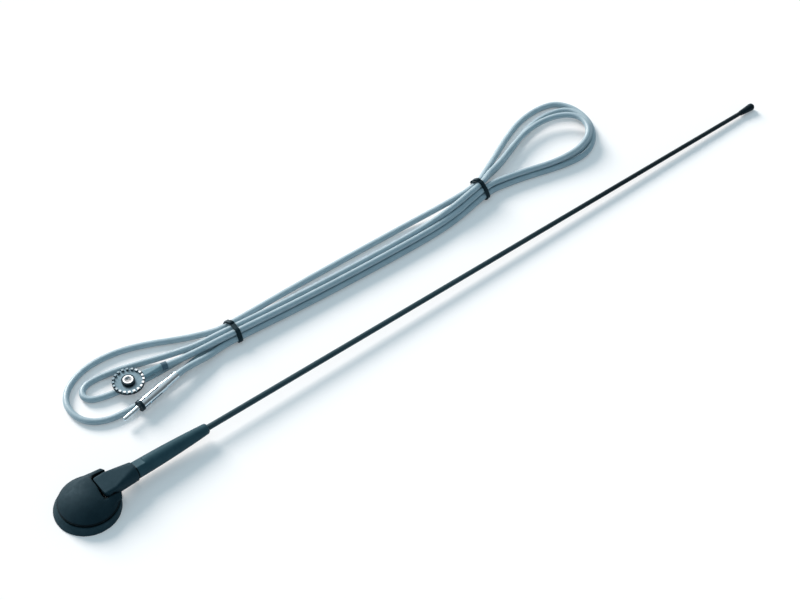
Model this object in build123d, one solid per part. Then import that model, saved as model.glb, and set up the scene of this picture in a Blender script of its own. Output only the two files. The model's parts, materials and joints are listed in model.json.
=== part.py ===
from build123d import *
import math
import os

# Car mast aerial with its lead, in millimetres.
# The origin is the centre of the gasket's underside, +Z is up and the mast lies along +X.
# The tilting lug is laid right down, so that the tip of the mast rests on the floor.

# Gasket
gasket_foot_r = 22.3
gasket_top_r = 20.9
gasket_height = 5.5
gasket_lip = 0.8
gasket_web = 1.2
web_hole_clearance = 0.7

# Dome
dome_shift = 1.6
dome_apex = 15.2
dome_rim_r = 20.75
dome_groove = 1.3
dome_wall = 2.2
spigot_r = 19.6
spigot_wall = 2.2
spigot_clearance = 0.2

# Hood that rises from the dome round the lug, higher on its left side
hood_top = 15.6
hood_x = 10.5
hood_y = 5.0
hood_crown_r = 34.0
hood_wall = 4.0
hood_edge_r = 4.5
hood_plan_r = 21.6
hood_seam_r = 1.0

# Slot in the dome for the lug
slot_half_width = 9.4
slot_corner_r = 3.2
slot_gap = 1.0
slot_floor = 6.2
pocket_wall = 1.6

# Foot plate under the dome
plate_r = 18.0
plate_thickness = 2.2
boss_r = 5.8
boss_height = 7.0
insert_r = 4.0
insert_bore_r = 2.5

# Screws that hold the dome on the plate
screw_x = -9.5
screw_y = 8.5
screw_shank_r = 1.45
screw_hole_clearance = 0.15
screw_head_r = 2.6
screw_head_height = 1.1
screw_head_clearance = 0.2
screw_reach = 5.0
screw_boss_r = 2.8

# Pivot
pivot_x = 15.9
pivot_z = 10.6
pin_r = 1.5
pin_end_gap = 0.4
pin_clearance = 0.05
tongue_half_width = 2.4
tongue_head_r = 3.0
tongue_stem_half = 2.0
tongue_clearance = 0.4
washer_thickness = 0.5
washer_clearance = 0.1
tilt_range = 75.0

# Tilting lug
lug_half_width = 8.6
lug_rise = 4.2
lug_rear = 5.5
lug_rear_drop = 3.6
lug_hub_r = 4.2
lug_hub_angle = 225.0
lug_corner_r = 2.6
lug_shoulder_r = 2.0
lug_block_end = 3.0
lug_block_floor = 3.4
lug_end_x = 36.6
lug_end_z = 8.7
lug_end_r = 6.6
bush_r = 3.5
bush_length = 6.0

# Mast, along its own axis from the lug's end face
mast_gap = 0.3
stud_r = 2.45
stud_clearance = 0.05
stud_in_bush = 5.5
stud_in_ferrule = 13.5
ferrule_root_r = 5.95
ferrule_waist_r = 5.5
ferrule_waist_at = 24.0
ferrule_end_r = 3.75
ferrule_length = 57.3
ferrule_rounding = 1.0
flat_half_width = 5.5
flat_length = 7.5
whip_root_r = 2.1
whip_end_r = 1.65
whip_end = 566.0
whip_in_ferrule = 14.0
whip_tenon_r = 1.4
whip_tenon = 8.0
tip_start_r = 1.95
tip_ball_r = 2.9
tip_length = 11.7

# Lead
cable_d = 4.6
lane_pitch = 4.7
lane_run = 10.0
arc_share = 0.45
tie_band = 1.1
tie_clearance = 0.1
tie_width = 3.4
tie_tail = 6.5
tie_tail_drop = 2.4
tie_near_run = 4.0
tie_far_run = 3.0

# Ring terminal on the lead
terminal_x = 76.0
terminal_y = 68.5
terminal_seat = 4.8
terminal_turn = -10.6
crown_r = 11.2
crown_web = 1.2
crown_height = 2.6
crown_rim = 1.6
crown_teeth = 20
crown_notch = 1.5
crown_notch_depth = 1.3
collar_r = 4.7
collar_neck_r = 3.9
collar_height = 1.9
eyelet_r = 3.1
eyelet_bore_r = 2.6
eyelet_rim_r = 3.6
eyelet_rim = 0.4
neck_end = 24.5
neck_width = 7.0
neck_height = 3.2
neck_corner_r = 1.5
neck_end_r = 2.5
neck_seat_z = 6.5
neck_end_z = 7.4
neck_clearance = 0.05
sleeve_r = 2.85
sleeve_length = 4.0

# Aerial plug on the lead
plug_rear = Vector(104.0, 51.3, 8.0)
plug_tip = Vector(55.0, 42.0, 6.2)
crimp_r = 2.9
crimp_length = 7.5
shell_length = 25.5
shell_r = 3.7
shell_collar_r = 3.2
shell_collar = 4.5
shell_wall = 0.6
shell_slots = 4
shell_slot_width = 1.0
shell_slot_length = 16.0
disc_r = 4.15
disc_thickness = 2.3
disc_spigot = 4.0
plug_pin_r = 1.6
plug_pin_root_r = 1.2

# Places that follow from the sizes above
plate_top = gasket_web + plate_thickness
rim_z = gasket_height + dome_groove
boss_top = plate_top + boss_height
spigot_bore_r = spigot_r - spigot_wall
lug_top = pivot_z + lug_rise
tip_ball_at = whip_end + tip_length
pocket_r = math.hypot(lug_rear, lug_rise) + slot_gap
cheek_y = tongue_half_width + washer_thickness + washer_clearance
cable_r = cable_d / 2
lane_low = tie_band + tie_clearance + cable_r
lane_high = lane_low + lane_pitch
reach = 2 * gasket_foot_r

os.makedirs("parts", exist_ok=True)


def save(shape, name):
    shape.label = name
    export_step(shape, f"parts/{name}.step")


def upright(radius, low, high, x=0.0, y=0.0):
    """A cylinder about a vertical axis, between two heights."""
    return Pos(x, y, low) * extrude(Circle(radius), high - low)


def across(side_view, half_width):
    """A side view, drawn about the pivot, made into a solid of a width."""
    section = Plane.XZ * Pos(pivot_x, pivot_z) * side_view
    return extrude(section, half_width, both=True)


def polar(radius, angle):
    turn = math.radians(angle)
    return Vector(radius * math.cos(turn), radius * math.sin(turn))


def ring(outer_r, inner_r, start, end):
    """A tube along +Z, between two stations."""
    return Pos(0, 0, start) * extrude(Circle(outer_r) - Circle(inner_r), end - start)


# Gasket: a flared skirt that leans towards the mast, with a thin web under the foot plate
def make_gasket():
    lip = upright(gasket_foot_r, 0, gasket_lip)
    foot = Pos(0, 0, gasket_lip) * Circle(gasket_foot_r)
    top = Pos(dome_shift, 0, gasket_height) * Circle(gasket_top_r)
    skirt = lip + loft([foot, top])
    pocket = upright(spigot_r + spigot_clearance, gasket_web, gasket_height, dome_shift)
    web_hole = upright(boss_r + web_hole_clearance, 0, gasket_web)
    return skirt - pocket - web_hole


# Dome: a shallow cap above the groove, on a spigot that stands on the foot plate
cap_height = dome_apex - rim_z
dome_crown_r = (dome_rim_r ** 2 + cap_height ** 2) / (2 * cap_height)
dome_crown_z = dome_apex - dome_crown_r


def cap_form(inset, foot_r):
    """The cap's outside, or the hollow an inset below it, down to the foot plate."""
    radius = dome_crown_r - inset
    start = math.degrees(math.asin((rim_z - dome_crown_z) / radius))
    crown = CenterArc((0, dome_crown_z), radius, start, 90 - start)
    rest = Polyline(crown @ 1, (0, plate_top), (foot_r, plate_top), (foot_r, rim_z), crown @ 0)
    section = Plane.XZ * make_face([crown, rest])
    return Pos(dome_shift, 0, 0) * revolve(section, Axis.Z)


def hood_form():
    """A rounded tunnel under a ball that crests to one side, trimmed to the dome's plan."""
    half_width = slot_half_width + hood_wall
    section = Plane.YZ * RectangleRounded(2 * half_width, 2 * half_width, hood_edge_r)
    tunnel = Pos(0, 0, hood_top - half_width) * extrude(section, reach, both=True)
    ball = Pos(hood_x, hood_y, hood_top - hood_crown_r) * Sphere(hood_crown_r)
    return ball & tunnel & upright(hood_plan_r, rim_z, reach, dome_shift)


def slot_form(radius, half_width, corner_r, floor):
    """The lug's pocket: half a drum behind the pivot, open to the front and the top."""
    behind = Circle(radius) & Pos(-reach / 2, 0) * Rectangle(reach, reach)
    ahead = Pos(reach / 2, floor - pivot_z + reach / 2) * Rectangle(reach, reach)
    drum = across(behind, half_width)
    rim = drum.edges().filter_by(GeomType.CIRCLE)
    return fillet(rim, corner_r) + across(ahead, half_width)


def make_dome():
    cap = cap_form(0, spigot_r)
    hood = hood_form()
    outer = cap + hood
    outer = fillet(new_edges(cap, hood, combined=outer), hood_seam_r)
    inner = cap_form(dome_wall, spigot_bore_r)
    slot = slot_form(pocket_r, slot_half_width, slot_corner_r, slot_floor)
    way_down = slot_form(pocket_r, slot_half_width, slot_corner_r, plate_top) & inner
    walls = slot_form(
        pocket_r + pocket_wall,
        slot_half_width + pocket_wall,
        slot_corner_r + pocket_wall,
        plate_top,
    )
    core = inner - walls
    dome = outer
    for y in (-screw_y, screw_y):
        core -= upright(screw_boss_r, plate_top, dome_apex, screw_x, y)
    dome -= core
    dome -= slot
    dome -= way_down
    for y in (-screw_y, screw_y):
        dome -= upright(screw_shank_r, plate_top, plate_top + screw_reach, screw_x, y)
    return dome


# Foot plate: a disc with the screw boss and the upright tongue that carries the pivot
def make_plate():
    plate = upright(plate_r, gasket_web, plate_top, dome_shift)
    plate += upright(boss_r, 0, boss_top)
    stem_height = pivot_z - plate_top
    stem = Pos(0, -stem_height / 2) * Rectangle(2 * tongue_stem_half, stem_height)
    plate += across(stem + Circle(tongue_head_r), tongue_half_width)
    plate -= across(Circle(pin_r + pin_clearance), tongue_half_width)
    plate -= upright(insert_r, 0, boss_top)
    head_seat = gasket_web + screw_head_height
    for y in (-screw_y, screw_y):
        plate -= upright(screw_shank_r + screw_hole_clearance, gasket_web, plate_top, screw_x, y)
        plate -= upright(screw_head_r + screw_head_clearance, gasket_web, head_seat, screw_x, y)
    return plate


def make_insert():
    return ring(insert_r, insert_bore_r, 0, boss_top)


def make_screws():
    head_seat = gasket_web + screw_head_height
    screws = []
    for y in (-screw_y, screw_y):
        head = upright(screw_head_r, gasket_web, head_seat, screw_x, y)
        shank = upright(screw_shank_r, head_seat, plate_top + screw_reach, screw_x, y)
        screws.append(head + shank)
    return Compound(children=screws)


def make_washer(side):
    disc = Circle(tongue_head_r) - Circle(pin_r + 2 * pin_clearance)
    section = Plane.XZ * Pos(pivot_x, pivot_z) * disc
    middle = tongue_half_width + washer_thickness / 2
    return Pos(0, side * middle, 0) * extrude(section, washer_thickness / 2, both=True)


# Mast frame: the axis slopes so that the ball of the tip rests on the floor
def mast_slope():
    span = math.hypot(tip_ball_at, tip_ball_r)
    return math.asin(lug_end_z / span) - math.atan2(tip_ball_r, tip_ball_at)


slope = mast_slope()
mast_axis = Vector(math.cos(slope), 0, -math.sin(slope))
mast_plane = Plane(origin=(lug_end_x, 0, lug_end_z), x_dir=(0, 1, 0), z_dir=mast_axis)


# Lug: a block round the pivot that tapers to the round end under the mast
def lug_block():
    hub_start = polar(lug_hub_r, lug_hub_angle)
    hub_middle = polar(lug_hub_r, (lug_hub_angle + 270) / 2)
    hub_end = polar(lug_hub_r, 270)
    rear_foot = (-lug_rear, lug_rise - lug_rear_drop)
    rear = Polyline((lug_block_end, lug_rise), (-lug_rear, lug_rise), rear_foot, hub_start)
    hub = ThreePointArc(hub_start, hub_middle, hub_end)
    front = Polyline(hub_end, (lug_block_end, -lug_block_floor), (lug_block_end, lug_rise))
    side_view = make_face([rear, hub, front])
    block = across(side_view, lug_half_width)

    height = lug_rise + lug_hub_r
    end_view = Pos(0, lug_top - height / 2) * RectangleRounded(2 * lug_half_width, height, lug_shoulder_r)
    block &= extrude(Plane.YZ * end_view, reach)

    length = lug_rear + reach
    plan = Pos(pivot_x - lug_rear + length / 2, 0)
    plan *= RectangleRounded(length, 2 * lug_half_width, lug_corner_r)
    return block & extrude(plan, reach)


def lug_nose():
    depth = lug_rise + lug_block_floor
    middle = (pivot_x + lug_block_end, 0, lug_top - depth / 2)
    block_end = Plane(origin=middle, x_dir=(0, 1, 0), z_dir=(1, 0, 0))
    start = block_end * RectangleRounded(2 * lug_half_width, depth, lug_shoulder_r)
    end = mast_plane * RectangleRounded(2 * lug_end_r, 2 * lug_end_r, lug_end_r - mast_gap)
    return loft([start, end])


def tongue_sweep():
    """Room for the tongue between the lug's cheeks, over the whole tilt."""
    half = tongue_stem_half + tongue_clearance
    raised = 270 - tilt_range
    shoulder = polar(half, raised - 90)
    far = polar(reach, raised)
    wedge = Polygon(shoulder, shoulder + far, (half, -reach), (half, 0), align=None)
    return across(wedge + Circle(tongue_head_r + tongue_clearance), cheek_y)


def make_lug():
    lug = lug_block() + lug_nose()
    lug -= tongue_sweep()
    lug -= across(Circle(pin_r), lug_half_width)
    lug -= mast_plane.location * Pos(0, 0, -bush_length) * extrude(Circle(bush_r), bush_length)
    return lug


def make_pin():
    return across(Circle(pin_r), lug_half_width - pin_end_gap)


def make_bush():
    return mast_plane.location * ring(bush_r, stud_r + stud_clearance, -bush_length, 0)


# Mast: stud, ferrule, whip and tip, each turned about the mast axis
def turned(*outline):
    """A solid of revolution about +Z from edges in the XZ plane."""
    section = Plane.XZ * make_face(outline)
    return revolve(section, Axis.Z)


def make_stud():
    stud = Pos(0, 0, -stud_in_bush) * extrude(Circle(stud_r), stud_in_bush + mast_gap + stud_in_ferrule)
    return mast_plane.location * stud


def make_ferrule():
    start = mast_gap
    end = mast_gap + ferrule_length
    shoulder = end - ferrule_rounding
    waist = (ferrule_waist_r, start + ferrule_waist_at)
    body = ThreePointArc((ferrule_root_r, start), waist, (ferrule_end_r, shoulder))
    lead_in = Line(body @ 1, (ferrule_end_r - ferrule_rounding, end))
    rest = Polyline(lead_in @ 1, (0, end), (0, start), body @ 0)
    ferrule = turned(body, lead_in, rest)
    for side in (-1, 1):
        slab = Pos(0, side * (flat_half_width + reach / 2)) * Rectangle(reach, reach)
        ferrule -= Pos(0, 0, start) * extrude(slab, flat_length)
    ferrule -= Pos(0, 0, start) * extrude(Circle(stud_r), stud_in_ferrule)
    ferrule -= Pos(0, 0, end - whip_in_ferrule) * extrude(Circle(whip_root_r), whip_in_ferrule)
    return mast_plane.location * ferrule


def make_whip():
    root = mast_gap + ferrule_length
    outline = Polyline(
        (0, root - whip_in_ferrule),
        (whip_root_r, root - whip_in_ferrule),
        (whip_root_r, root),
        (whip_end_r, whip_end),
        (whip_tenon_r, whip_end),
        (whip_tenon_r, whip_end + whip_tenon),
        (0, whip_end + whip_tenon),
        close=True,
    )
    return mast_plane.location * turned(outline)


def make_tip():
    span = math.hypot(tip_ball_at - whip_end, tip_start_r)
    bearing = math.degrees(math.atan2(tip_start_r, whip_end - tip_ball_at))
    touch = bearing - math.degrees(math.acos(tip_ball_r / span))
    ball = CenterArc((tip_ball_at, 0), tip_ball_r, 0, touch)
    side = Line(ball @ 1, (whip_end, tip_start_r))
    rest = Polyline(side @ 1, (whip_end, 0), ball @ 0)
    section = Plane(origin=(0, 0, 0), x_dir=(0, 0, 1), z_dir=(0, 1, 0)) * make_face([ball, side, rest])
    tip = revolve(section, Axis.Z)
    tip -= Pos(0, 0, whip_end) * extrude(Circle(whip_tenon_r), whip_tenon)
    return mast_plane.location * tip


# Lead: the places of the six strands in the ties, as steps across and heights
lanes = {
    "a": (1.5, lane_low),
    "f": (0.5, lane_low),
    "e": (-0.5, lane_low),
    "d": (-1.5, lane_low),
    "b": (0.5, lane_high),
    "c": (-0.5, lane_high),
}


def corner_radii(points):
    """The largest arc that each corner's two runs allow."""
    radii = []
    for before, corner, after in zip(points, points[1:], points[2:]):
        run_in = corner - before
        run_out = after - corner
        shorter = min(run_in.length, run_out.length)
        radii.append(arc_share * shorter / math.tan(math.radians(run_in.get_angle(run_out)) / 2))
    return radii


def route(points):
    points = [Vector(point) for point in points]
    return FilletPolyline(*points, radius=corner_radii(points))


bundle_path = route([(155, 63.0), (225, 57.8), (320, 52.9), (352, 54.0), (389.5, 60.6)])


def bundle_plane(end, run=0.0):
    """A plane across the bundle, a run inwards from its near end (0) or its far end (1)."""
    along = bundle_path % end
    inwards = along if end == 0 else -along
    side = Vector(-along.Y, along.X)
    return Plane(origin=(bundle_path @ end) + inwards * run, x_dir=side, z_dir=along)


def lane_place(lane):
    step, height = lanes[lane]
    return (step * lane_pitch, height)


def lane_ends(lane, end):
    """Where a strand leaves the bundle, and the point that it runs straight to."""
    plane = bundle_plane(end)
    out = -lane_run if end == 0 else lane_run
    x, y = lane_place(lane)
    return [plane.from_local_coords((x, y, 0)), plane.from_local_coords((x, y, out))]


def lanes_face():
    outline = [lane_place(lane) for lane in "adcb"]
    face = Polygon(*outline, align=None)
    for lane in lanes:
        face += Pos(*lane_place(lane)) * Circle(cable_r)
    return face


def tube(points, name):
    path = route(points)
    section = Plane(origin=path @ 0, z_dir=path % 0) * Circle(cable_r)
    solid = sweep(section, path)
    radii = corner_radii([Vector(point) for point in points])
    share = solid.volume / (math.pi * cable_r ** 2 * path.length)
    print(name, "length", round(path.length, 1), "volume share", round(share, 4))
    print("  radii", [round(radius, 1) for radius in radii])
    return solid


def strand(start, middle, end):
    """A loop from one lane to another, out of the same end of the bundle."""
    return lane_ends(*start) + middle + lane_ends(*end)[::-1]


far_outer = strand(
    ("a", 1),
    [
        (413, 78, 2.9), (435, 90, 2.4), (458, 100.5, 2.4), (479.5, 105, 2.4),
        (497, 99.8, 2.4), (504.8, 84.5, 2.4), (503.5, 65.5, 2.4), (491.5, 49.8, 2.4),
        (471, 43.6, 2.4), (446, 45.4, 2.4), (421, 49.8, 2.8),
    ],
    ("d", 1),
)
far_middle = strand(
    ("f", 1),
    [
        (414, 70.5, 2.9), (436, 80, 2.5), (458, 90, 2.7), (478, 95.8, 3.8),
        (493, 91.5, 5.2), (500.5, 79.5, 6.0), (499.8, 64.5, 6.0), (489.5, 54, 5.2),
        (471, 50, 3.6), (446, 51.4, 2.5), (421, 55.2, 2.8),
    ],
    ("e", 1),
)
far_inner = strand(
    ("b", 1),
    [
        (413, 71, 8.0), (434, 79.6, 7.8), (455, 87.2, 8.2), (474, 89.8, 9.0),
        (489.5, 86, 10.0), (498, 75, 10.6), (496, 61, 10.6), (485, 52, 9.7),
        (467, 47.6, 8.2), (443, 48.4, 7.0), (419, 53, 7.4),
    ],
    ("c", 1),
)
near_outer = strand(
    ("e", 0),
    [
        (128, 59.4, 2.6), (106, 55.4, 2.4), (84, 51.2, 2.4), (63, 49.4, 2.4), (45.5, 52.2, 2.4),
        (33.5, 61.5, 2.4), (30.2, 75.5, 2.4), (35, 89.5, 2.4), (47.5, 98.2, 2.4), (65, 101.8, 2.4),
        (85, 99.6, 2.4), (107, 92.5, 2.4), (129, 81.8, 2.6),
    ],
    ("a", 0),
)
near_inner = strand(
    ("b", 0),
    [
        (131, 68, 7.2), (113, 73.2, 4.4), (94, 80, 2.6), (75, 85.3, 2.4), (59, 87.5, 2.4),
        (49, 86.2, 2.4), (44, 79.8, 2.4), (47, 73.2, 2.4), (56, 69.6, 2.4), (71, 67, 2.4),
        (91, 65.6, 2.4), (111, 65.5, 2.4), (130, 66.2, 2.7),
    ],
    ("f", 0),
)


# Hank: the tied strands as one bundle, with the three far loops and the two near loops
def make_hank():
    bundle = sweep(bundle_plane(0) * lanes_face(), bundle_path)
    print("bundle length", round(bundle_path.length, 1))
    hank = bundle
    loops = [
        (far_outer, "far_outer"),
        (far_middle, "far_middle"),
        (far_inner, "far_inner"),
        (near_outer, "near_outer"),
        (near_inner, "near_inner"),
    ]
    for points, name in loops:
        hank += tube(points, name)
    return hank


# Ties: a flat band round the bundle, with the free end standing off on the far side
def make_tie(end, run):
    corners = [lane_place(lane) for lane in "adcb"]
    core = Polygon(*corners, align=None)
    inside = offset(core, cable_r + tie_clearance)
    band = offset(core, cable_r + tie_clearance + tie_band) - inside
    tail_x, top = lane_place("b")
    tail_z = top + cable_r + tie_clearance + tie_band / 2
    tail_end = (tail_x + tie_tail, tail_z - tie_tail_drop)
    bend = TangentArc((tail_x - tie_band, tail_z), tail_end, tangent=(1, 0))
    band += trace(bend, tie_band)
    return extrude(bundle_plane(end, run) * band, tie_width / 2, both=True)


# Ring terminal: a toothed earth ring, an insulating collar and the inner contact
terminal_place = Pos(terminal_x, terminal_y, terminal_seat) * Rot(0, 0, terminal_turn)
neck_start = crown_r - crown_rim
neck_end_place = terminal_place * Pos(neck_end, 0, neck_end_z - terminal_seat)


def make_crown():
    crown = extrude(Circle(crown_r) - Circle(collar_neck_r), crown_web)
    crown += ring(crown_r, crown_r - crown_rim, 0, crown_height)
    notch = Rectangle(2 * crown_rim + crown_notch, crown_notch)
    for notch_place in PolarLocations(crown_r, crown_teeth, start_angle=180 / crown_teeth):
        cut = extrude(notch_place * notch, crown_notch_depth)
        crown -= Pos(0, 0, crown_height - crown_notch_depth) * cut
    return terminal_place * crown


def make_collar():
    collar = ring(collar_neck_r, eyelet_r, 0, crown_web)
    collar += ring(collar_r, eyelet_r, crown_web, crown_web + collar_height)
    return terminal_place * collar


def make_eyelet():
    top = crown_web + collar_height
    eyelet = ring(eyelet_r, eyelet_bore_r, 0, top)
    eyelet += ring(eyelet_rim_r, eyelet_bore_r, top, top + eyelet_rim)
    return terminal_place * eyelet


def make_neck():
    start = Plane(origin=(neck_start, 0, neck_seat_z - terminal_seat), x_dir=(0, 1, 0), z_dir=(1, 0, 0))
    end = Plane(origin=(neck_end, 0, neck_end_z - terminal_seat), x_dir=(0, 1, 0), z_dir=(1, 0, 0))
    root = start * RectangleRounded(neck_width, neck_height, neck_corner_r)
    tip = end * RectangleRounded(2 * neck_end_r, 2 * neck_end_r, neck_end_r - neck_clearance)
    neck = loft([root, tip]) - upright(crown_r + neck_clearance, 0, reach)
    return terminal_place * neck


def make_sleeve():
    start = Plane(origin=(neck_end, 0, neck_end_z - terminal_seat), x_dir=(0, 1, 0), z_dir=(1, 0, 0))
    sleeve = extrude(start * (Circle(sleeve_r) - Circle(cable_r)), sleeve_length)
    return terminal_place * sleeve


def make_terminal_tail():
    root = neck_end_place.position
    way = Vector(1, 0).rotate(Axis.Z, terminal_turn)
    points = [root, root + way * lane_run, (121, 60.7, 7.6), (134, 60.2, 8.0)]
    return tube(points + lane_ends("c", 0)[::-1], "terminal_tail")


# Aerial plug: each piece is drawn along +Z from the rear end of the crimp to the tip
plug_way = (plug_tip - plug_rear).normalized()
plug_plane = Plane(origin=plug_rear, x_dir=plug_way.cross(Vector(0, 0, 1)), z_dir=plug_way)
plug_length = (plug_tip - plug_rear).length
shell_end = crimp_length + shell_length
disc_end = shell_end + disc_thickness


def make_crimp():
    return plug_plane.location * ring(crimp_r, cable_r, 0, crimp_length)


def make_shell():
    collar_end = crimp_length + shell_collar
    shell = Pos(0, 0, crimp_length) * extrude(Circle(shell_collar_r), shell_collar)
    shell += Pos(0, 0, collar_end) * extrude(Circle(shell_r), shell_end - collar_end)
    shell -= Pos(0, 0, collar_end) * extrude(Circle(shell_r - shell_wall), shell_end - collar_end)
    for slot_place in PolarLocations(shell_r, shell_slots):
        slot = slot_place * Rectangle(4 * shell_wall, shell_slot_width)
        shell -= Pos(0, 0, shell_end - shell_slot_length) * extrude(slot, shell_slot_length)
    return plug_plane.location * shell


def make_disc():
    disc = ring(disc_r, plug_pin_root_r, shell_end, disc_end)
    disc += ring(shell_r - shell_wall, plug_pin_root_r, shell_end - disc_spigot, shell_end)
    return plug_plane.location * disc


def make_plug_pin():
    nose = plug_length - plug_pin_r
    pin = Pos(0, 0, disc_end) * extrude(Circle(plug_pin_r), nose - disc_end)
    pin += Pos(0, 0, nose) * Sphere(plug_pin_r)
    root = shell_end - disc_spigot
    pin += Pos(0, 0, root) * extrude(Circle(plug_pin_root_r), disc_end - root)
    return plug_plane.location * pin


def make_plug_tail():
    root = plug_rear + plug_way * crimp_length
    past_crimp = plug_rear - plug_way * cable_r
    points = [root, past_crimp, (119, 53.6, 7.0), (132, 55.4, 5.2)]
    return tube(points + lane_ends("d", 0)[::-1], "plug_tail")


save(make_gasket(), "base_gasket")
save(make_dome(), "base_dome")
save(make_plate(), "base_plate")
save(make_insert(), "threaded_insert")
save(make_screws(), "dome_screws")
save(make_washer(1), "washer_left")
save(make_washer(-1), "washer_right")
save(make_lug(), "tilt_lug")
save(make_pin(), "pivot_pin")
save(make_bush(), "lug_bush")
save(make_stud(), "mast_stud")
save(make_ferrule(), "mast_ferrule")
save(make_whip(), "whip_rod")
save(make_tip(), "tip_cap")
save(make_hank(), "lead_hank")
save(make_terminal_tail(), "lead_terminal_tail")
save(make_plug_tail(), "lead_plug_tail")
save(make_tie(0, tie_near_run), "tie_near")
save(make_tie(1, tie_far_run), "tie_far")
save(make_crown(), "terminal_crown")
save(make_collar(), "terminal_collar")
save(make_eyelet(), "terminal_eyelet")
save(make_neck(), "terminal_neck")
save(make_sleeve(), "terminal_sleeve")
save(make_crimp(), "plug_crimp")
save(make_shell(), "plug_shell")
save(make_disc(), "plug_insulator")
save(make_plug_pin(), "plug_pin")
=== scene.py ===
import json
import math

import bmesh
import bpy
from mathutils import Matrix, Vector
from mathutils.bvhtree import BVHTree
from mathutils.geometry import convex_hull_2d


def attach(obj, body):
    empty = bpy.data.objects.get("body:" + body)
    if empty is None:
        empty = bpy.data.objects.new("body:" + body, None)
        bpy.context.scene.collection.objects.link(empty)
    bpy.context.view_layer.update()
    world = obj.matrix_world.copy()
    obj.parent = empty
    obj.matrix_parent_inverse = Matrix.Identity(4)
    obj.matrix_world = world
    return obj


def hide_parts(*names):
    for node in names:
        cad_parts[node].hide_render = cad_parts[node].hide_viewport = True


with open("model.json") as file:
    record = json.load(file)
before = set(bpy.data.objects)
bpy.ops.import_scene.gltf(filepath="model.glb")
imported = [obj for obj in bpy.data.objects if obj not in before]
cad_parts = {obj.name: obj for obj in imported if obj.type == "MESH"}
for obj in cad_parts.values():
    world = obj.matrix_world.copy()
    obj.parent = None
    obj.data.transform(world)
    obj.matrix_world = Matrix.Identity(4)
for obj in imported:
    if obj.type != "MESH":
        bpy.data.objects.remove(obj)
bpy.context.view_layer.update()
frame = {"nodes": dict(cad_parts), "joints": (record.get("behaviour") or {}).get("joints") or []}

# Lengths are in millimetres up to the point where Blender takes them
MM = 0.001
scene = bpy.context.scene
nodes = frame["nodes"]
joints = {joint["name"]: joint for joint in frame["joints"]}
mast_screw = joints["mast_screw"]


def add_object(name, data):
    item = bpy.data.objects.new(name, data)
    scene.collection.objects.link(item)
    return item


# Camera, fitted to the round base and the straight mast in the photograph
CAMERA_PLACE = (-260.07, -642.01, 921.60)
CAMERA_TARGET = (270.26, 15.18, 0.0)
CAMERA_LENS = 78.86
SENSOR_WIDTH = 36.0


def add_camera():
    data = bpy.data.cameras.new("photo_camera")
    data.sensor_width = SENSOR_WIDTH
    data.lens = CAMERA_LENS
    camera = add_object("photo_camera", data)
    place = Vector(CAMERA_PLACE) * MM
    target = Vector(CAMERA_TARGET) * MM
    camera.location = place
    camera.rotation_euler = (target - place).to_track_quat("-Z", "Y").to_euler()
    scene.camera = camera


# Lead: the route's points, strand by strand through the bundle
CABLE_D = 4.6
CABLE_STEPS = 10
CABLE_ROUNDNESS = 6
TERMINAL_TAIL = [(100.08, 63.99, 7.4), (109.91, 62.15, 7.4), (121, 60.7, 7.6), (134, 59.4, 8)]
PLUG_TAIL = [(132, 53.6, 5), (119, 52.9, 7), (106.26, 51.73, 8.08), (96.64, 49.9, 7.73)]
STRAND_A = [
    (145.7, 72.1, 3.2), (155.5, 69.2, 3.9), (225.8, 70.8, 2.6), (320.1, 68.9, 2.4),
    (350.8, 65.1, 6), (373, 63.4, 8.2), (388.5, 66.3, 7.8), (397.7, 71.8, 6.2),
]
STRAND_B = [
    (145, 63.5, 8), (155, 62.6, 8.1), (225, 58.1, 6.9), (320, 54.9, 6.8),
    (351.9, 55.4, 10.3), (373.9, 58.5, 12), (389.3, 62, 11.2), (398.4, 67.6, 9.1),
]
STRAND_C = [
    (144.7, 58.8, 8.1), (154.6, 58, 8.1), (224.7, 53.3, 6.9), (320, 50, 6.8),
    (352.2, 51.7, 7), (374.3, 56.1, 8), (389.8, 58.7, 7.9), (399.9, 59, 7.1),
]
STRAND_D = [
    (144.4, 55.8, 3.9), (154.5, 55.8, 3.8), (224.6, 50.8, 2.8), (320, 47.7, 2.6),
    (352.5, 49.6, 2.9), (374.7, 53.8, 3.8), (390.3, 56.3, 3.7), (400.4, 56.4, 2.7),
]
STRAND_E = [
    (144.9, 61.4, 3.6), (154.8, 60.7, 3.8), (224.9, 55.5, 2.8), (320, 52.4, 2.6),
    (352, 54.3, 2.9), (373.9, 58.4, 3.8), (389.4, 61, 3.7), (399.6, 61.1, 2.7),
]
STRAND_F = [
    (145.2, 66.3, 3.6), (155.2, 65.3, 3.8), (225.2, 60.3, 2.8), (320, 57.1, 2.6),
    (351.5, 59, 2.9), (373.1, 63, 3.8), (388.6, 65.7, 3.7), (398, 70.2, 2.7),
]
FAR_OUTER = [
    (414.5, 80.8, 3.6), (435, 91.8, 2.4), (455.5, 100.6, 2.4), (471, 103.9, 2.4),
    (486, 103.9, 2.4), (498.2, 99.8, 2.4), (505.2, 86, 2.4), (503.8, 67.4, 2.4),
    (493.6, 51, 2.4), (475, 41.2, 2.4), (450, 44.4, 2.4), (424, 52, 2.4),
]
FAR_MIDDLE = [
    (414, 73.6, 2.6), (436, 82.6, 2.4), (458, 91.8, 2.5), (479, 95, 2.8),
    (496, 90, 4.2), (501.6, 78.5, 5.6), (499.8, 64, 6), (489.5, 52.4, 4.4),
    (472, 46.2, 2.7), (448, 49.8, 2.4), (424, 56.8, 2.4),
]
FAR_INNER = [
    (414, 72.4, 7.4), (434, 80.4, 7), (453, 86.8, 7), (472, 88, 7.4),
    (487.5, 82.8, 8.6), (496, 72, 10), (493.5, 58, 10.2), (482.5, 48.6, 9.2),
    (466, 45.4, 7.6), (446, 48, 6.6), (422, 54.6, 6.7),
]
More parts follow.
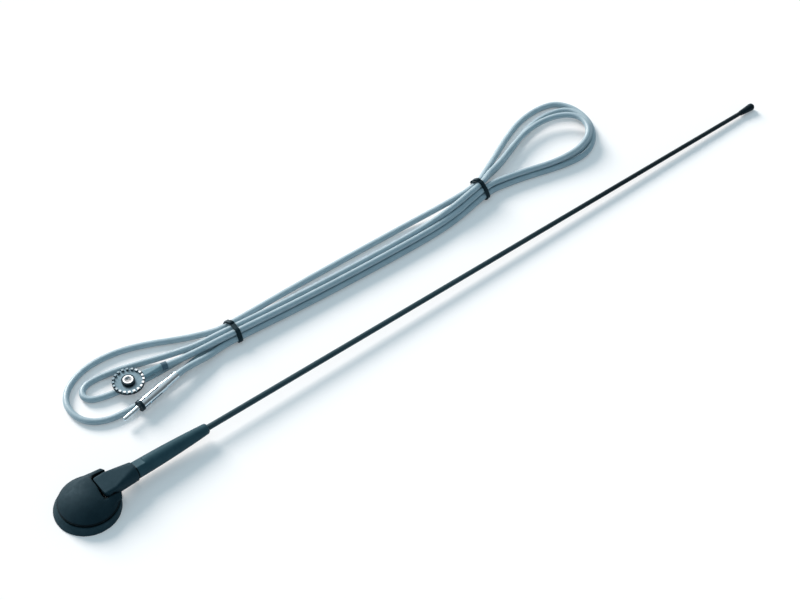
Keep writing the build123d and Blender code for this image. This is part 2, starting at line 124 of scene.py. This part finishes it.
NEAR_OUTER = [
    (128, 59, 2.6), (106, 55, 2.4), (84, 51, 2.4), (63, 49.1, 2.4), (46, 51.6, 2.4),
    (35, 60.3, 2.4), (31.8, 73.6, 2.4), (36, 86.6, 2.4), (48, 96.1, 2.4), (65.6, 100.6, 2.4),
    (86, 98.8, 2.4), (107, 91, 2.4), (128, 79.6, 2.6),
]
NEAR_INNER = [
    (131, 65, 7.2), (113, 71.4, 4.6), (94, 79, 2.6), (76, 84.6, 2.4), (60.4, 87.2, 2.4),
    (50.6, 86.2, 2.4), (45.4, 79.8, 2.4), (48, 73.2, 2.4), (57, 69.8, 2.4), (72, 67.2, 2.4),
    (91, 65.2, 2.4), (111, 65, 2.4), (130, 65.6, 2.7),
]


def lead_route():
    """All points from the terminal's neck to the plug's crimp."""
    route = TERMINAL_TAIL + STRAND_C + FAR_INNER[::-1] + STRAND_B[::-1]
    route += NEAR_INNER + STRAND_F + FAR_MIDDLE + STRAND_E[::-1]
    route += NEAR_OUTER + STRAND_A + FAR_OUTER + STRAND_D[::-1] + PLUG_TAIL
    return route


def add_cable():
    curve = bpy.data.curves.new("lead_cable", "CURVE")
    curve.dimensions = "3D"
    curve.resolution_u = CABLE_STEPS
    curve.bevel_depth = 1.0
    curve.bevel_resolution = CABLE_ROUNDNESS
    curve.use_fill_caps = True
    spline = curve.splines.new("NURBS")
    route = lead_route()
    spline.points.add(len(route) - 1)
    for point, place in zip(spline.points, route):
        point.co = (*[value * MM for value in place], 1.0)
        point.radius = CABLE_D / 2 * MM
    spline.order_u = 3
    spline.use_endpoint_u = True
    spline.use_smooth = True
    cable = add_object("lead_cable", curve)
    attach(cable, "base")
    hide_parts("lead_hank", "lead_terminal_tail", "lead_plug_tail")
    return cable


def centreline(cable):
    """The points of the lead's own line, read from its spline."""
    bare = cable.data.copy()
    bare.bevel_depth = 0.0
    holder = bpy.data.objects.new("lead_line", bare)
    mesh = bpy.data.meshes.new_from_object(holder)
    line = [vertex.co.copy() for vertex in mesh.vertices]
    bpy.data.objects.remove(holder)
    bpy.data.curves.remove(bare)
    bpy.data.meshes.remove(mesh)
    return line


# Ties: black bands pulled tight round the strands, each with a short tail
TIE_WIDTH = 3.4
TIE_BAND = 1.1
TIE_GAP = 0.1
TIE_EDGE = 0.4
DISC_STEPS = 48
CORNER_STEPS = 3
# The tail's middle line: aside, up and along from its root
TIE_TAIL = [(0, 0, 0), (1.6, 0.1, -0.2), (3.2, -0.3, -0.8), (4.6, -1.2, -1.8), (5.4, -2.4, -2.8)]
TAIL_LEAN = 0.12
ROOT_PULL = 0.3
# Place on the floor, and heading of the bundle there
TIE_NEAR = (159.0, 62.7), (0.9972, -0.0741)
TIE_FAR = (384.6, 59.75), (0.9849, 0.1733)


def crossings(line, middle, way):
    """Where a line crosses the plane across the bundle, as places aside and up."""
    side = Vector((-way.y, way.x, 0.0))
    places = []
    for one, two in zip(line, line[1:]):
        before = (one - middle).dot(way)
        after = (two - middle).dot(way)
        if before * after < 0:
            place = one.lerp(two, before / (before - after)) - middle
            places.append((place.dot(side), place.z))
    return places


def tight_outline(places, radius):
    """The line of a band pulled tight round discs of that radius."""
    rim = []
    for aside, up in places:
        for step in range(DISC_STEPS):
            angle = math.tau * step / DISC_STEPS
            rim.append((aside + radius * math.cos(angle), up + radius * math.sin(angle)))
    return [Vector(rim[index]) for index in convex_hull_2d(rim)]


def band_section():
    """A rounded rectangle, as places along the bundle and out of it."""
    half_along = TIE_WIDTH / 2 - TIE_EDGE
    half_out = TIE_BAND / 2 - TIE_EDGE
    corners = ((1, 1), (-1, 1), (-1, -1), (1, -1))
    section = []
    for quarter, (along, out) in enumerate(corners):
        for step in range(CORNER_STEPS + 1):
            angle = math.pi / 2 * (quarter + step / CORNER_STEPS)
            section.append((
                along * half_along + TIE_EDGE * math.cos(angle),
                out * half_out + TIE_EDGE * math.sin(angle),
            ))
    return section


def skin(work, rings, closed):
    """Faces from ring to ring, with a cap at each end of an open run."""
    rows = [[work.verts.new(point) for point in ring] for ring in rings]
    pairs = list(zip(rows, rows[1:]))
    if closed:
        pairs.append((rows[-1], rows[0]))
    else:
        work.faces.new(rows[0])
        work.faces.new(rows[-1])
    count = len(rows[0])
    for one, two in pairs:
        for index in range(count):
            after = (index + 1) % count
            work.faces.new((one[index], one[after], two[after], two[index]))


def add_tie(node, line, place, heading):
    middle = Vector((*place, 0.0)) * MM
    way = Vector((*heading, 0.0))
    side = Vector((-way.y, way.x, 0.0))
    up = Vector((0.0, 0.0, 1.0))
    section = band_section()

    def ring(foot, out, along=0.0):
        centre = middle + side * foot.x + up * foot.y + way * along
        outwards = side * out.x + up * out.y
        return [centre + (way * u + outwards * v) * MM for u, v in section]

    radius = (CABLE_D / 2 + TIE_GAP + TIE_BAND / 2) * MM
    outline = tight_outline(crossings(line, middle, way), radius)
    band_rings = []
    for before, foot, after in zip(outline[-1:] + outline, outline, outline[1:] + outline[:1]):
        run = (after - before).normalized()
        band_rings.append(ring(foot, Vector((run.y, -run.x))))

    highest = max(outline, key=lambda foot: foot.y + ROOT_PULL * foot.x)
    root = highest + Vector((0.0, TIE_BAND / 2 * MM))
    tail_rings = []
    for aside, rise, along in TIE_TAIL:
        foot = root + Vector((aside, rise)) * MM
        lean = Vector((TAIL_LEAN * aside, 1.0)).normalized()
        tail_rings.append(ring(foot, lean, along * MM))

    work = bmesh.new()
    skin(work, band_rings, closed=True)
    skin(work, tail_rings, closed=False)
    bmesh.ops.recalc_face_normals(work, faces=work.faces)
    mesh = bpy.data.meshes.new(node + "_band")
    work.to_mesh(mesh)
    work.free()
    mesh.shade_smooth()
    band = add_object(node + "_band", mesh)
    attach(band, "base")
    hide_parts(node)
    return band


# Mouldings: the solids with their moulded edges eased, as voxel size and rounds of smoothing
DOME_EASE = 0.32, 16
LUG_EASE = 0.3, 10
GASKET_EASE = 0.4, 4
FERRULE_EASE = 0.34, 4
EASE_FACTOR = 0.5
WELD = 1e-6  # metres
# The lug's pocket in the dome, with the pivot's x and z
PIVOT = (15.9, 10.6)
POCKET_R = 7.9
SLOT_HALF_WIDTH = 9.4
# The slope from the dome to its hood
SEAM_FLOOR = 8.6
TOP_FACING = 0.05
HULL_CENTRE = (4.0, 0.0, 9.5)
HULL_STEP = 12
HOOD_FRONT = 19.0
HOOD_ROUNDS = 24
RIM_CLEAR = 0.2
RIM_BLEND = 0.8
# The ferrule's spanner flats
FLAT_WAY = (0.0, 0.253, 0.967)
FLAT_OUT = 4.7
FLAT_LENGTH = 7.5


def add_smooth(piece, rounds):
    smooth = piece.modifiers.new("smooth", "SMOOTH")
    smooth.factor = EASE_FACTOR
    smooth.iterations = rounds
    return smooth


def applied(piece):
    """Turns a piece's modifiers into its mesh."""
    graph = bpy.context.evaluated_depsgraph_get()
    piece.data = bpy.data.meshes.new_from_object(piece.evaluated_get(graph))
    piece.modifiers.clear()


def eased(node, body, slot, voxel, rounds):
    """A copy of a solid with its edges rounded off, in place of the solid."""
    mesh = nodes[node].data.copy()
    work = bmesh.new()
    work.from_mesh(mesh)
    bmesh.ops.remove_doubles(work, verts=work.verts, dist=WELD)
    work.to_mesh(mesh)
    work.free()
    piece = add_object(node + "_moulding", mesh)
    remesh = piece.modifiers.new("remesh", "REMESH")
    remesh.mode = "VOXEL"
    remesh.voxel_size = voxel * MM
    add_smooth(piece, rounds)
    applied(piece)
    piece.data.materials.clear()
    piece.data.shade_smooth()
    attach(piece, body)
    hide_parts(node)
    return piece


def fill_hood(dome):
    """Lets the dome rise straight to the hood, away from the slot's rim."""
    top = [
        vertex for vertex in dome.data.vertices
        if vertex.co.z > SEAM_FLOOR * MM and vertex.normal.z > TOP_FACING
    ]
    work = bmesh.new()
    for vertex in top[::HULL_STEP]:
        work.verts.new(vertex.co)
    bmesh.ops.convex_hull(work, input=work.verts)
    wrap = BVHTree.FromBMesh(work)
    work.free()
    outside = dome.vertex_groups.new(name="outside")
    centre = Vector(HULL_CENTRE) * MM
    for vertex in top:
        x, y, z = (value / MM for value in vertex.co)
        behind = math.hypot(x - PIVOT[0], z - PIVOT[1]) - POCKET_R
        off_rim = max(abs(y) - SLOT_HALF_WIDTH, behind)
        weight = min(1.0, (off_rim - RIM_CLEAR) / RIM_BLEND, z - SEAM_FLOOR, HOOD_FRONT - x)
        hit = wrap.ray_cast(centre, vertex.co - centre)[0]
        if weight > 0 and hit:
            outside.add([vertex.index], weight, "REPLACE")
            vertex.co = vertex.co.lerp(hit, weight)
    add_smooth(dome, HOOD_ROUNDS).vertex_group = outside.name
    applied(dome)
    dome.vertex_groups.clear()


def press_flats(ferrule, axis_start, axis_way):
    """Two spanner flats across the ferrule's lower end."""
    way = Vector(FLAT_WAY)
    way = (way - axis_way * way.dot(axis_way)).normalized()
    for vertex in ferrule.data.vertices:
        arm = vertex.co - axis_start
        out = arm.dot(way)
        if arm.dot(axis_way) < FLAT_LENGTH * MM and abs(out) > FLAT_OUT * MM:
            vertex.co -= way * (out - math.copysign(FLAT_OUT * MM, out))


# Materials: dark colour, light colour, and roughness from the smoothest to the roughest spots
LOOKS = {
    "satin_black_dome": ((0.004, 0.012, 0.017), (0.007, 0.018, 0.024), (0.61, 0.72)),
    "satin_black_lug": ((0.008, 0.022, 0.03), (0.012, 0.028, 0.037), (0.57, 0.68)),
    "satin_black_ferrule": ((0.02, 0.05, 0.063), (0.027, 0.063, 0.077), (0.5, 0.61)),
    "black_tip_moulding": ((0.002, 0.005, 0.008), (0.003, 0.007, 0.011), (0.31, 0.42)),
    "gasket_rubber": ((0.013, 0.029, 0.037), (0.02, 0.04, 0.05), (0.62, 0.8)),
    "whip_coating": ((0.021, 0.041, 0.048), (0.034, 0.058, 0.067), (0.28, 0.42)),
    "grey_sheath": ((0.32, 0.41, 0.455), (0.365, 0.455, 0.5), (0.36, 0.48)),
    "black_nylon": ((0.006, 0.013, 0.017), (0.011, 0.021, 0.026), (0.37, 0.48)),
    "grey_neck": ((0.18, 0.265, 0.3), (0.215, 0.305, 0.345), (0.45, 0.56)),
    "dark_band": ((0.07, 0.11, 0.14), (0.095, 0.145, 0.18), (0.45, 0.56)),
    "toothed_casting": ((0.115, 0.18, 0.22), (0.16, 0.23, 0.272), (0.3, 0.44)),
    "bright_plating": ((0.46, 0.58, 0.65), (0.57, 0.68, 0.74), (0.07, 0.21)),
    "tinned_contact": ((0.86, 0.9, 0.92), (0.93, 0.95, 0.96), (0.24, 0.38)),
    "zinc_steel": ((0.48, 0.49, 0.5), (0.58, 0.59, 0.6), (0.28, 0.42)),
    "stud_steel": ((0.42, 0.43, 0.44), (0.55, 0.56, 0.57), (0.3, 0.44)),
    "foot_casting": ((0.46, 0.46, 0.45), (0.58, 0.58, 0.56), (0.44, 0.58)),
    "turned_brass": ((0.6, 0.43, 0.2), (0.74, 0.55, 0.28), (0.24, 0.38)),
}
# Noise scales for the colour, the roughness and the relief
MOULD_GRAIN = 160, 420, 2600
RUBBER_GRAIN = 220, 600, 1500
ROD_GRAIN = 900, 1400, 2200
SHEATH_GRAIN = 120, 500, 60
METAL_GRAIN = 500, 900, 1800
# How far each of the rod's noises is drawn out along it, and the sheath's lines
ROD_STRETCH = (0.04, 1, 1), (0.05, 1, 1), (0.03, 1, 1)
SHEATH_STRETCH = (40, 1, 1)
# Depth of the relief
MOULD_DEPTH = 0.02
RUBBER_DEPTH = 0.03
ROD_DEPTH = 0.012
SHEATH_DEPTH = 0.02
CAST_DEPTH = 0.015
TINNED_DEPTH = 0.004
PLATED_DEPTH = 0.002
# The part of a noise's range that the ramps spread
NOISE_LOW = 0.3
NOISE_HIGH = 0.7
NOISE_DETAIL = 3.0
MOULD_DETAIL = 2.0
RUBBER_DETAIL = 4.0
# Mirrored light
COOL_TINT = (0.35, 0.75, 1.0, 1)
MOULD_SPECULAR = 0.2
ROD_SPECULAR = 0.25
SHEATH_SPECULAR = 0.5
SHEEN_WEIGHT = 0.05
SHEEN_ROUGHNESS = 0.45
SHEEN_TINT = (0.4, 0.8, 1.0, 1)
# Painted shade: near black in the dome's groove and in the lug's pocket, and in the ferrule's
# seam against the lug; and the mast darker towards its tip, painted shade where the light falls
# off
PAINTED_SHADE = 0.05
GROOVE_TOP = 7.9
GROOVE_FADE = 0.3
GAP_START = 0.2
GAP_EDGE = 0.55
SEAM_START = 0.7
SEAM_END = 1.1
MAST_SHADE_FROM = 270.0
MAST_SHADE_FULL = 430.0
MAST_SHADE = 0.2
# The toothed ring: a painted highlight on the tooth tips, strongest on one side, and painted
# shade on the outer edge
RING_SEAT = (76.0, 68.5, 4.8)
RING_R = 11.2
RING_HEIGHT = 2.6
TIP_HIGHLIGHT = (0.74, 0.8, 0.84)
TIP_HIGHLIGHT_FADE = 0.5, 0.2
LIT_WAY = (0.42, -0.907, 0.0)
LIT_REACH = 5.0
LIT_LEAST = 0.1
EDGE_SHADE = (0.03, 0.045, 0.055)
EDGE_SHADE_FADE = 0.2, 0.08


class Finish:
    """A surface with a noise-driven colour, roughness and relief on object coordinates."""

    def __init__(self, name, metallic=0.0):
        self.dark, self.light, self.rough = LOOKS[name]
        self.material = bpy.data.materials.new(name)
        self.material.use_nodes = True
        self.tree = self.material.node_tree
        self.shader = self.tree.nodes["Principled BSDF"]
        self.shader.inputs["Metallic"].default_value = metallic
        coordinates = self.tree.nodes.new("ShaderNodeTexCoord")
        self.object_space = coordinates.outputs["Object"]
        self.cable_space = coordinates.outputs["UV"]

    def link(self, source, target):
        self.tree.links.new(source, target)

    def noise(self, scale, stretch=(1, 1, 1), detail=NOISE_DETAIL, space=None):
        mapping = self.tree.nodes.new("ShaderNodeMapping")
        mapping.inputs["Scale"].default_value = stretch
        self.link(space or self.object_space, mapping.inputs["Vector"])
        noise = self.tree.nodes.new("ShaderNodeTexNoise")
        noise.inputs["Scale"].default_value = scale
        noise.inputs["Detail"].default_value = detail
        self.link(mapping.outputs["Vector"], noise.inputs["Vector"])
        return noise.outputs["Fac"]

    def colour(self, factor):
        ramp = self.tree.nodes.new("ShaderNodeValToRGB")
        first, last = ramp.color_ramp.elements
        first.position = NOISE_LOW
        first.color = (*self.dark, 1)
        last.position = NOISE_HIGH
        last.color = (*self.light, 1)
        self.link(factor, ramp.inputs["Fac"])
        self.link(ramp.outputs["Color"], self.shader.inputs["Base Color"])

    def roughness(self, factor):
        spread = self.fade(factor, NOISE_LOW, NOISE_HIGH, *self.rough)
        self.link(spread, self.shader.inputs["Roughness"])

    def relief(self, height, depth):
        bump = self.tree.nodes.new("ShaderNodeBump")
        bump.inputs["Distance"].default_value = depth * MM
        self.link(height, bump.inputs["Height"])
        self.link(bump.outputs["Normal"], self.shader.inputs["Normal"])

    def specular(self, level):
        self.shader.inputs["Specular IOR Level"].default_value = level

    def cool_specular(self, level):
        self.specular(level)
        self.shader.inputs["Specular Tint"].default_value = COOL_TINT

    def maths(self, operation, one, two):
        """A socket that joins a socket and a socket or number."""
        node = self.tree.nodes.new("ShaderNodeMath")
        node.operation = operation
        self.link(one, node.inputs[0])
        if isinstance(two, (int, float)):
            node.inputs[1].default_value = two
        else:
            self.link(two, node.inputs[1])
        return node.outputs["Value"]

    def vector_maths(self, operation, one, two=None):
        """A node that works on a vector socket and, if given, a constant vector."""
        node = self.tree.nodes.new("ShaderNodeVectorMath")
        node.operation = operation
        self.link(one, node.inputs[0])
        if two is not None:
            node.inputs[1].default_value = two
        return node

    def about_axis(self, centre, axis):
        """Distance from an axis through a centre, and height along it."""
        start = [value * MM for value in centre]
        arm = self.vector_maths("SUBTRACT", self.object_space, start).outputs["Vector"]
        height = self.vector_maths("DOT_PRODUCT", arm, axis).outputs["Value"]
        reach = self.vector_maths("CROSS_PRODUCT", arm, axis).outputs["Vector"]
        radius = self.vector_maths("LENGTH", reach).outputs["Value"]
        return radius, height

    def fade(self, value, low, high, start=0.0, end=1.0):
        spread = self.tree.nodes.new("ShaderNodeMapRange")
        spread.inputs["From Min"].default_value = low
        spread.inputs["From Max"].default_value = high
        spread.inputs["To Min"].default_value = start
        spread.inputs["To Max"].default_value = end
        self.link(value, spread.inputs["Value"])
        return spread.outputs["Result"]

    def colour_so_far(self):
        return self.shader.inputs["Base Color"].links[0].from_socket

    def scale_colour(self, factor):
        shade = self.vector_maths("SCALE", self.colour_so_far())
        self.link(factor, shade.inputs["Scale"])
        self.link(shade.outputs["Vector"], self.shader.inputs["Base Color"])

    def overlay(self, colour, factor):
        mix = self.tree.nodes.new("ShaderNodeMix")
        mix.data_type = "RGBA"
        mix.inputs["B"].default_value = (*colour, 1)
        self.link(factor, mix.inputs["Factor"])
        self.link(self.colour_so_far(), mix.inputs["A"])
        self.link(mix.outputs["Result"], self.shader.inputs["Base Color"])


def mould_finish(name):
    """Moulded plastic with a fine spark-eroded grain."""
    finish = Finish(name)
    mottle, patches, grain = MOULD_GRAIN
    finish.colour(finish.noise(mottle))
    finish.roughness(finish.noise(patches))
    finish.relief(finish.noise(grain, detail=MOULD_DETAIL), MOULD_DEPTH)
    finish.cool_specular(MOULD_SPECULAR)
    return finish


def moulded(name):
    return mould_finish(name).material


def moulded_dome(name):
    """The dome's plastic, with painted shade, near black, in the groove at its foot and in the
    lug's pocket.
    """
    finish = mould_finish(name)
    # Painted shade: near black below the top of the groove at the dome's foot.
    height = finish.about_axis((0, 0, 0), (0, 0, 1))[1]
    groove_floor = GROOVE_TOP - GROOVE_FADE
    finish.scale_colour(finish.fade(height, groove_floor * MM, GROOVE_TOP * MM, PAINTED_SHADE))
    # Painted shade: near black on the walls of the lug's pocket and slot.
    radius, aside = finish.about_axis((PIVOT[0], 0, PIVOT[1]), (0, 1, 0))
    off_pocket = finish.maths("SUBTRACT", radius, POCKET_R * MM)
    other_side = finish.maths("MULTIPLY", aside, -1.0)
    off_middle = finish.maths("MAXIMUM", aside, other_side)
    off_cheek = finish.maths("SUBTRACT", off_middle, SLOT_HALF_WIDTH * MM)
    off_rim = finish.maths("MAXIMUM", off_pocket, off_cheek)
    finish.scale_colour(finish.fade(off_rim, GAP_START * MM, GAP_EDGE * MM, PAINTED_SHADE))
    finish.shader.inputs["Sheen Weight"].default_value = SHEEN_WEIGHT
    finish.shader.inputs["Sheen Roughness"].default_value = SHEEN_ROUGHNESS
    finish.shader.inputs["Sheen Tint"].default_value = SHEEN_TINT
    return finish.material


def along_mast(finish):
    """Distance along the mast from its foot."""
    foot = [value / MM for value in mast_screw["pos_m"]]
    return finish.about_axis(foot, mast_screw["axis"])[1]


def moulded_ferrule(name):
    """The ferrule's plastic, with painted shade, near black, in the seam against the lug."""
    finish = mould_finish(name)
    # Painted shade: near black in the seam next to the lug.
    seam = finish.fade(along_mast(finish), SEAM_START * MM, SEAM_END * MM, PAINTED_SHADE)
    finish.scale_colour(seam)
    return finish.material


def rubber(name):
    finish = Finish(name)
    mottle, patches, grain = RUBBER_GRAIN
    finish.colour(finish.noise(mottle))
    finish.roughness(finish.noise(patches))
    finish.relief(finish.noise(grain, detail=RUBBER_DETAIL), RUBBER_DEPTH)
    finish.cool_specular(MOULD_SPECULAR)
    return finish.material


def coated_rod(name):
    """Black coating with faint lines along the rod, and painted shade that darkens it towards
    the tip.
    """
    finish = Finish(name)
    lines = [finish.noise(scale, stretch) for scale, stretch in zip(ROD_GRAIN, ROD_STRETCH)]
    finish.colour(lines[0])
    finish.roughness(lines[1])
    finish.relief(lines[2], ROD_DEPTH)
    # Painted shade: darker towards the tip, where the light falls off.
    finish.scale_colour(
        finish.fade(along_mast(finish), MAST_SHADE_FROM * MM, MAST_SHADE_FULL * MM, 1.0, MAST_SHADE)
    )
    finish.cool_specular(ROD_SPECULAR)
    return finish.material


def sheath(name):
    """Cable sheath with faint lines along it and a little mottling."""
    finish = Finish(name)
    mottle, patches, lines = SHEATH_GRAIN
    finish.colour(finish.noise(mottle))
    finish.roughness(finish.noise(patches))
    along = finish.noise(lines, stretch=SHEATH_STRETCH, space=finish.cable_space)
    finish.relief(along, SHEATH_DEPTH)
    finish.specular(SHEATH_SPECULAR)
    return finish.material


def metal_finish(name, depth):
    """Plated or cast metal with fine tool marks."""
    finish = Finish(name, metallic=1.0)
    mottle, patches, marks = METAL_GRAIN
    finish.colour(finish.noise(mottle))
    finish.roughness(finish.noise(patches))
    finish.relief(finish.noise(marks), depth)
    return finish


def metal(name, depth=CAST_DEPTH):
    return metal_finish(name, depth).material


def toothed_ring(name):
    """Dull casting with painted shade on its edge, and a painted highlight on the tooth tips
    that is strongest on one side.
    """
    finish = metal_finish(name, CAST_DEPTH)
    radius, height = finish.about_axis(RING_SEAT, (0, 0, 1))
    # Painted highlight on the tooth tips, strongest on one side.
    tips = finish.fade(height, *[(RING_HEIGHT - inset) * MM for inset in TIP_HIGHLIGHT_FADE])
    across = finish.about_axis(RING_SEAT, LIT_WAY)[1]
    lit_side = finish.fade(across, -LIT_REACH * MM, LIT_REACH * MM, LIT_LEAST)
    finish.overlay(TIP_HIGHLIGHT, finish.maths("MULTIPLY", tips, lit_side))
    # Painted shade on the outer edge.
    edge = finish.fade(radius, *[(RING_R - inset) * MM for inset in EDGE_SHADE_FADE])
    finish.overlay(EDGE_SHADE, edge)
    return finish.material


def dress(material, *pieces):
    for piece in pieces:
        piece.data.materials.clear()
        piece.data.materials.append(material)


def dress_nodes(material, *names):
    dress(material, *[nodes[name] for name in names])


# Floor, light and backdrop
WHITE = (1, 1, 1, 1)
FLOOR_REACH = 4.0  # metres
FLOOR_COLOUR = (0.84, 0.8, 0.79, 1)
FLOOR_ROUGHNESS = 0.9
FLOOR_GLOW = 0.18
SOFT_COLOUR = (0.58, 0.85, 1.0, 1)
SOFT_STRENGTH = 0.55
# The mirrored room: cosine to the key, and the strength from one end to the other
ROOM_FADE = -0.35, 0.65
ROOM_STRENGTH = 0.2, 1.0
KEY_WAY = (0.009, -0.883, -0.469)
KEY_ENERGY = 4.45
KEY_ANGLE = 26.0  # degrees
KEY_COLOUR = (1.0, 0.945, 0.9)


def seen_by(tree, *kinds):
    """1 for rays of any of those kinds."""
    rays = tree.nodes.new("ShaderNodeLightPath")
    largest = rays.outputs[kinds[0]]
    for kind in kinds[1:]:
        either = tree.nodes.new("ShaderNodeMath")
        either.operation = "MAXIMUM"
        tree.links.new(largest, either.inputs[0])
        tree.links.new(rays.outputs[kind], either.inputs[1])
        largest = either.outputs["Value"]
    return largest


def floor_material():
    """Pale and matt, with a little glow that lights nothing else."""
    material = bpy.data.materials.new("floor_white")
    material.use_nodes = True
    tree = material.node_tree
    shader = tree.nodes["Principled BSDF"]
    shader.inputs["Base Color"].default_value = FLOOR_COLOUR
    shader.inputs["Roughness"].default_value = FLOOR_ROUGHNESS
    shader.inputs["Specular IOR Level"].default_value = 0.0
    glow = tree.nodes.new("ShaderNodeEmission")
    glow.inputs["Color"].default_value = WHITE
    seen = tree.nodes.new("ShaderNodeMath")
    seen.operation = "MULTIPLY"
    seen.inputs[1].default_value = FLOOR_GLOW
    background = seen_by(tree, "Is Camera Ray", "Is Glossy Ray", "Is Transmission Ray")
    tree.links.new(background, seen.inputs[0])
    tree.links.new(seen.outputs["Value"], glow.inputs["Strength"])
    both = tree.nodes.new("ShaderNodeAddShader")
    tree.links.new(shader.outputs["BSDF"], both.inputs[0])
    tree.links.new(glow.outputs["Emission"], both.inputs[1])
    tree.links.new(both.outputs["Shader"], tree.nodes["Material Output"].inputs["Surface"])
    return material


def add_floor():
    work = bmesh.new()
    bmesh.ops.create_grid(work, x_segments=1, y_segments=1, size=FLOOR_REACH)
    mesh = bpy.data.meshes.new("floor")
    work.to_mesh(mesh)
    work.free()
    floor = add_object("floor", mesh)
    dress(floor_material(), floor)


def add_world():
    """White behind the object, and a mirrored room that greys away from the key."""
    world = bpy.data.worlds.new("studio")
    scene.world = world
    world.use_nodes = True
    tree = world.node_tree
    soft = tree.nodes["Background"]
    soft.inputs["Color"].default_value = SOFT_COLOUR
    soft.inputs["Strength"].default_value = SOFT_STRENGTH
    room = tree.nodes.new("ShaderNodeBackground")
    room.inputs["Color"].default_value = WHITE
    coordinates = tree.nodes.new("ShaderNodeTexCoord")
    towards_key = tree.nodes.new("ShaderNodeVectorMath")
    towards_key.operation = "DOT_PRODUCT"
    towards_key.inputs[1].default_value = [-value for value in KEY_WAY]
    tree.links.new(coordinates.outputs["Generated"], towards_key.inputs[0])
    fade = tree.nodes.new("ShaderNodeMapRange")
    fade.inputs["From Min"].default_value, fade.inputs["From Max"].default_value = ROOM_FADE
    fade.inputs["To Min"].default_value, fade.inputs["To Max"].default_value = ROOM_STRENGTH
    tree.links.new(towards_key.outputs["Value"], fade.inputs["Value"])
    tree.links.new(fade.outputs["Result"], room.inputs["Strength"])
    white = tree.nodes.new("ShaderNodeBackground")
    white.inputs["Color"].default_value = WHITE
    mirrored = tree.nodes.new("ShaderNodeMixShader")
    tree.links.new(seen_by(tree, "Is Glossy Ray", "Is Transmission Ray"), mirrored.inputs["Fac"])
    tree.links.new(soft.outputs["Background"], mirrored.inputs[1])
    tree.links.new(room.outputs["Background"], mirrored.inputs[2])
    shown = tree.nodes.new("ShaderNodeMixShader")
    tree.links.new(seen_by(tree, "Is Camera Ray"), shown.inputs["Fac"])
    tree.links.new(mirrored.outputs["Shader"], shown.inputs[1])
    tree.links.new(white.outputs["Background"], shown.inputs[2])
    tree.links.new(shown.outputs["Shader"], tree.nodes["World Output"].inputs["Surface"])


def add_key():
    data = bpy.data.lights.new("key", "SUN")
    data.energy = KEY_ENERGY
    data.angle = math.radians(KEY_ANGLE)
    data.color = KEY_COLOUR
    key = add_object("key", data)
    key.rotation_euler = Vector(KEY_WAY).to_track_quat("-Z", "Y").to_euler()


add_camera()
cable = add_cable()
line = centreline(cable)
ties = [add_tie("tie_near", line, *TIE_NEAR), add_tie("tie_far", line, *TIE_FAR)]

dome = eased("base_dome", "base", "dome_plastic", *DOME_EASE)
fill_hood(dome)
lug = eased("tilt_lug", "lug", "lug_plastic", *LUG_EASE)
gasket = eased("base_gasket", "base", "gasket_rubber", *GASKET_EASE)
ferrule = eased("mast_ferrule", "mast", "ferrule_plastic", *FERRULE_EASE)
press_flats(ferrule, Vector(mast_screw["pos_m"]), Vector(mast_screw["axis"]))

dress(moulded_dome("satin_black_dome"), dome)
dress(moulded("satin_black_lug"), lug)
dress(moulded_ferrule("satin_black_ferrule"), ferrule)
dress_nodes(moulded("black_tip_moulding"), "tip_cap")
dress(rubber("gasket_rubber"), gasket)
dress_nodes(coated_rod("whip_coating"), "whip_rod")
dress(sheath("grey_sheath"), cable)
dress(moulded("black_nylon"), *ties, nodes["terminal_collar"], nodes["plug_insulator"])
dress_nodes(moulded("grey_neck"), "terminal_neck")
dress_nodes(moulded("dark_band"), "terminal_sleeve")
dress_nodes(toothed_ring("toothed_casting"), "terminal_crown")
dress_nodes(metal("bright_plating", PLATED_DEPTH), "plug_crimp", "plug_shell", "plug_pin")
dress_nodes(metal("tinned_contact", TINNED_DEPTH), "terminal_eyelet")
dress_nodes(metal("zinc_steel"), "dome_screws", "washer_left", "washer_right", "pivot_pin")
dress_nodes(metal("stud_steel"), "mast_stud")
dress_nodes(metal("foot_casting"), "base_plate")
dress_nodes(metal("turned_brass"), "threaded_insert", "lug_bush")

add_floor()
add_world()
add_key()

scene.view_settings.view_transform = "Standard"

bpy.context.view_layer.update()
